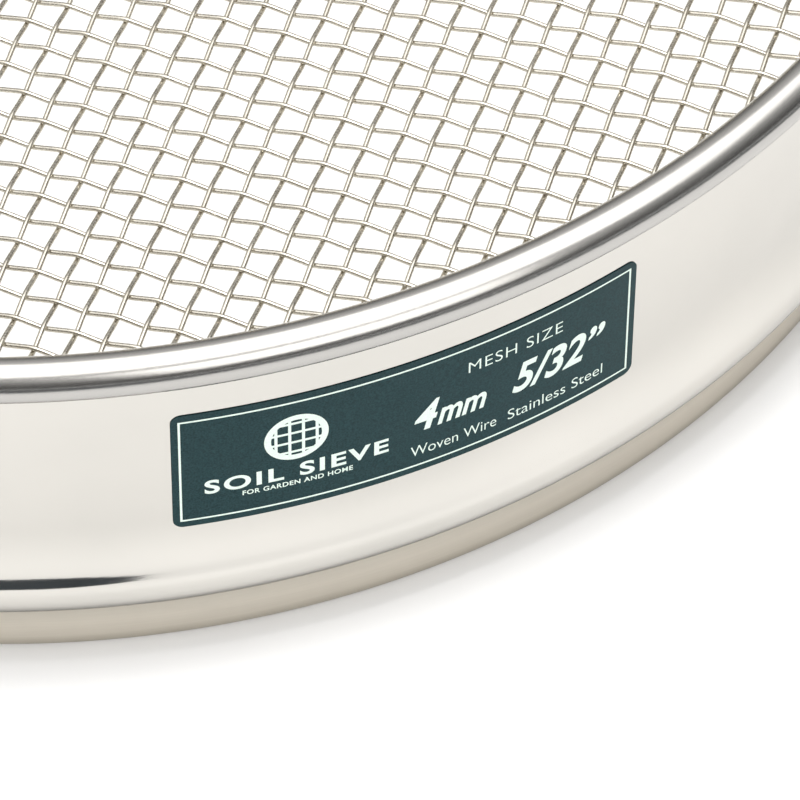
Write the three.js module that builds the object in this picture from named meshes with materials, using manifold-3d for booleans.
// A round garden soil sieve in stainless steel, in millimetres, +Z up.
// The origin is at the centre of the skirt's lower edge, and the label faces -Y.
//
// Section through one side, outside to the right:
//
//      (  )   rolled bead at the mouth of the hoop
//      |      hoop wall, with the label stuck on its outer face
//      |_
//      |_\    the wall flares into a stacking shoulder, which hems under
//   ===|_ )   retaining ring, woven mesh and skirt flange, stacked inside the shoulder
//      |      skirt, which drops into the mouth of the sieve below
import * as THREE from "three";
import { mergeVertices } from "three/addons/utils/BufferGeometryUtils.js";
import Module from "manifold-3d";

const wasm = await Module();
wasm.setup();

// Sheet metal
const SHEET = 0.7; // thickness of the hoop, the skirt and the retaining ring
const FIT_GAP = 0.25; // clearance between neighbours in the clamped stack
const SEGMENTS = 60; // facets round every ring, so that nested rings stay parallel

// Hoop
const BEAD_RADIUS = 3.2; // outside of the rolled bead's round section
const BEAD_CENTRE_R = 146.5;
const BEAD_CENTRE_Z = 62.6;
const BEAD_WRAP = 300; // degrees that the curl turns, leaving a narrow slot under it
const CURL_STEPS = 10;
const WALL_INNER_R = BEAD_CENTRE_R - BEAD_RADIUS;
const WALL_OUTER_R = WALL_INNER_R + SHEET;

// Stacking shoulder
const SHOULDER_R = 146.94; // largest radius of the shoulder
const SHOULDER_Z = 14.57; // height of that largest radius
const SHOULDER_ROUND = 5.8; // convex radius of the shoulder
const FLARE_SLOPE = 24; // steepest slope of the flare, in degrees from the vertical
const FLARE_LENGTH = 1.3; // straight stretch of the flare at that slope
const HEM_SLOPE = 40; // degrees that the shoulder turns under before the hem's tight corner
const HEM_CORNER = 0.9; // outside radius of that corner
const HEM_INNER_R = 143.3;

// Skirt
const SKIRT_OUTER_R = 142.9;
const SKIRT_INNER_R = SKIRT_OUTER_R - SHEET;
const FLANGE_OUTER_R = 144.7;

// Mesh: 4 mm openings between wires of 0.8 mm
const WIRE = 0.8;
const OPENING = 4;
const PITCH = OPENING + WIRE;
const LAYER_HEIGHT = 0.65; // of a straight bar with about the volume of a crimped wire
const LAYER_GAP = 0.3; // between the two layers of wires
const MESH_CENTRE_R = 143.8; // middle of the clamped edge where each wire ends
const CLAMPED_EDGE_WIDTH = 1.6;
const WEAVE_ANGLE = -42.6; // direction of the warp wires, degrees from +X
const WARP_PHASE = -1.25; // distance of the middle warp wire from the axis
const WEFT_PHASE = -0.12; // distance of the middle weft wire from the axis

// Retaining ring
const RETAINER_FOOT_INNER_R = 141.9;
const RETAINER_FOOT_OUTER_R = 145.4;
const RETAINER_HEIGHT = 7;

// Label
const LABEL_WIDTH = 72.4;
const LABEL_HEIGHT = 24;
const LABEL_BOTTOM_Z = 24.9;
const LABEL_CORNER = 1.6;
const LABEL_THICKNESS = 0.25;
const LABEL_GAP = 0.3;

const polished = new THREE.MeshStandardMaterial({ color: 0xdedad4, roughness: 0.08, metalness: 1 });
const satin = new THREE.MeshStandardMaterial({ color: 0xc4beb4, roughness: 0.45, metalness: 1 });
const wire = new THREE.MeshStandardMaterial({ color: 0xd2ccc0, roughness: 0.25, metalness: 1 });
const film = new THREE.MeshStandardMaterial({ color: 0x4b6364, roughness: 0.4, metalness: 0 });

const radians = THREE.MathUtils.degToRad;

// Points on a circular arc of the section plane; from and to are in degrees from the outward direction.
function arc(centreR, centreZ, radius, from, to, steps) {
  return Array.from({ length: steps + 1 }, (_, i) => {
    const angle = radians(from + ((to - from) * i) / steps);
    return [centreR + radius * Math.cos(angle), centreZ + radius * Math.sin(angle)];
  });
}

// A closed section of [radius, height] points, anticlockwise, turned about Z.
function ring(section) {
  const points = [...section, section[0]].map(([r, z]) => new THREE.Vector2(r, z));
  return new THREE.LatheGeometry(points, SEGMENTS).rotateX(Math.PI / 2);
}

function solid(geometry) {
  const bare = geometry.clone().deleteAttribute("normal").deleteAttribute("uv");
  const merged = mergeVertices(bare, 1e-4);
  return new wasm.Manifold(
    new wasm.Mesh({
      numProp: 3,
      vertProperties: merged.attributes.position.array,
      triVerts: new Uint32Array(merged.index.array),
    }),
  );
}

function geometryOf(manifold) {
  const { vertProperties, triVerts } = manifold.getMesh();
  const geometry = new THREE.BufferGeometry();
  geometry.setAttribute("position", new THREE.BufferAttribute(vertProperties, 3));
  geometry.setIndex(new THREE.BufferAttribute(triVerts, 1));
  geometry.computeVertexNormals();
  return geometry;
}

function part(name, geometry, material) {
  const mesh = new THREE.Mesh(geometry, material);
  mesh.name = name;
  return mesh;
}

// The stack inside the shoulder, from the hem upwards.
const hemCornerR = SHOULDER_R - SHOULDER_ROUND + (SHOULDER_ROUND - HEM_CORNER) * Math.cos(radians(HEM_SLOPE));
const hemCornerZ = SHOULDER_Z - (SHOULDER_ROUND - HEM_CORNER) * Math.sin(radians(HEM_SLOPE));
const hemBottomZ = hemCornerZ - HEM_CORNER;
const flangeBottomZ = hemBottomZ + SHEET + FIT_GAP;
const weftBottomZ = flangeBottomZ + SHEET + FIT_GAP;
const warpBottomZ = weftBottomZ + LAYER_HEIGHT + LAYER_GAP;
const retainerBottomZ = warpBottomZ + LAYER_HEIGHT + FIT_GAP;

// One face of the hoop's sheet from the hem to the wall; offset is 0 outside and SHEET inside.
function shoulderFace(offset) {
  const roundR = SHOULDER_R - SHOULDER_ROUND;
  const slope = radians(FLARE_SLOPE);
  const flareTopR = roundR + SHOULDER_ROUND * Math.cos(slope) - FLARE_LENGTH * Math.sin(slope);
  const flareTopZ = SHOULDER_Z + SHOULDER_ROUND * Math.sin(slope) + FLARE_LENGTH * Math.cos(slope);
  const hollow = (flareTopR - WALL_OUTER_R) / (1 - Math.cos(slope));
  const hollowZ = flareTopZ + hollow * Math.sin(slope);
  return [
    [HEM_INNER_R, hemBottomZ + offset],
    ...arc(hemCornerR, hemCornerZ, HEM_CORNER - offset, -90, -HEM_SLOPE, 2),
    ...arc(roundR, SHOULDER_Z, SHOULDER_ROUND - offset, -HEM_SLOPE, FLARE_SLOPE, 5).slice(1),
    ...arc(WALL_OUTER_R + hollow, hollowZ, hollow + offset, 180 + FLARE_SLOPE, 180, 4),
  ];
}

function rimHoop() {
  const curlEnd = 180 - BEAD_WRAP;
  return ring([
    ...shoulderFace(0),
    ...arc(BEAD_CENTRE_R, BEAD_CENTRE_Z, BEAD_RADIUS - SHEET, 180, curlEnd, CURL_STEPS),
    ...arc(BEAD_CENTRE_R, BEAD_CENTRE_Z, BEAD_RADIUS, curlEnd, 180, CURL_STEPS),
    ...shoulderFace(SHEET).reverse(),
  ]);
}

function nestingSkirt() {
  const top = flangeBottomZ + SHEET;
  return ring([
    [SKIRT_INNER_R, 0],
    [SKIRT_OUTER_R, 0],
    [SKIRT_OUTER_R, flangeBottomZ],
    [FLANGE_OUTER_R, flangeBottomZ],
    [FLANGE_OUTER_R, top],
    [SKIRT_INNER_R, top],
  ]);
}

function retainingRing() {
  const legOuterR = WALL_INNER_R - FIT_GAP;
  return ring([
    [RETAINER_FOOT_INNER_R, retainerBottomZ],
    [RETAINER_FOOT_OUTER_R, retainerBottomZ],
    [RETAINER_FOOT_OUTER_R, retainerBottomZ + SHEET],
    [legOuterR, retainerBottomZ + SHEET],
    [legOuterR, retainerBottomZ + RETAINER_HEIGHT],
    [legOuterR - SHEET, retainerBottomZ + RETAINER_HEIGHT],
    [legOuterR - SHEET, retainerBottomZ + SHEET],
    [RETAINER_FOOT_INNER_R, retainerBottomZ + SHEET],
  ]);
}

// One layer of parallel wires as straight bars, held together by the flattened edge inside the clamp.
function wireLayer(bottomZ, angle, phase) {
  const inner = MESH_CENTRE_R - CLAMPED_EDGE_WIDTH / 2;
  const outer = MESH_CENTRE_R + CLAMPED_EDGE_WIDTH / 2;
  const top = bottomZ + LAYER_HEIGHT;
  let layer = solid(ring([[inner, bottomZ], [outer, bottomZ], [outer, top], [inner, top]]));
  const count = Math.floor(inner / PITCH);
  for (let i = -count; i <= count; i += 1) {
    const across = phase + i * PITCH;
    if (Math.abs(across) > inner - WIRE) continue;
    const length = 2 * Math.sqrt(MESH_CENTRE_R ** 2 - across ** 2);
    const bar = new THREE.BoxGeometry(length, WIRE, LAYER_HEIGHT);
    bar.translate(0, across, bottomZ + LAYER_HEIGHT / 2).rotateZ(radians(angle));
    layer = layer.add(solid(bar));
  }
  return geometryOf(layer);
}

// A rounded rectangle cut out of a thin sleeve that lies round the hoop's wall.
function labelSticker() {
  const innerR = WALL_OUTER_R + LABEL_GAP;
  const outerR = innerR + LABEL_THICKNESS;
  const top = LABEL_BOTTOM_Z + LABEL_HEIGHT;
  const margin = 1;
  const sleeve = ring([
    [innerR, LABEL_BOTTOM_Z - margin],
    [outerR, LABEL_BOTTOM_Z - margin],
    [outerR, top + margin],
    [innerR, top + margin],
  ]);
  const x = LABEL_WIDTH / 2 - LABEL_CORNER;
  const y = LABEL_HEIGHT / 2 - LABEL_CORNER;
  const outline = new THREE.Shape()
    .absarc(x, y, LABEL_CORNER, 0, Math.PI / 2)
    .absarc(-x, y, LABEL_CORNER, Math.PI / 2, Math.PI)
    .absarc(-x, -y, LABEL_CORNER, Math.PI, Math.PI * 1.5)
    .absarc(x, -y, LABEL_CORNER, Math.PI * 1.5, Math.PI * 2);
  const cutter = new THREE.ExtrudeGeometry(outline, { depth: outerR, bevelEnabled: false, curveSegments: 4 });
  cutter.rotateX(Math.PI / 2).translate(0, 0, LABEL_BOTTOM_Z + LABEL_HEIGHT / 2);
  return geometryOf(solid(sleeve).intersect(solid(cutter)));
}

const sieve = new THREE.Group();
sieve.add(
  part("rim_hoop", rimHoop(), polished),
  part("nesting_skirt", nestingSkirt(), satin),
  part("retaining_ring", retainingRing(), satin),
  part("weft_wires", wireLayer(weftBottomZ, WEAVE_ANGLE + 90, WEFT_PHASE), wire),
  part("warp_wires", wireLayer(warpBottomZ, WEAVE_ANGLE, WARP_PHASE), wire),
  part("label", labelSticker(), film),
);

export default sieve;
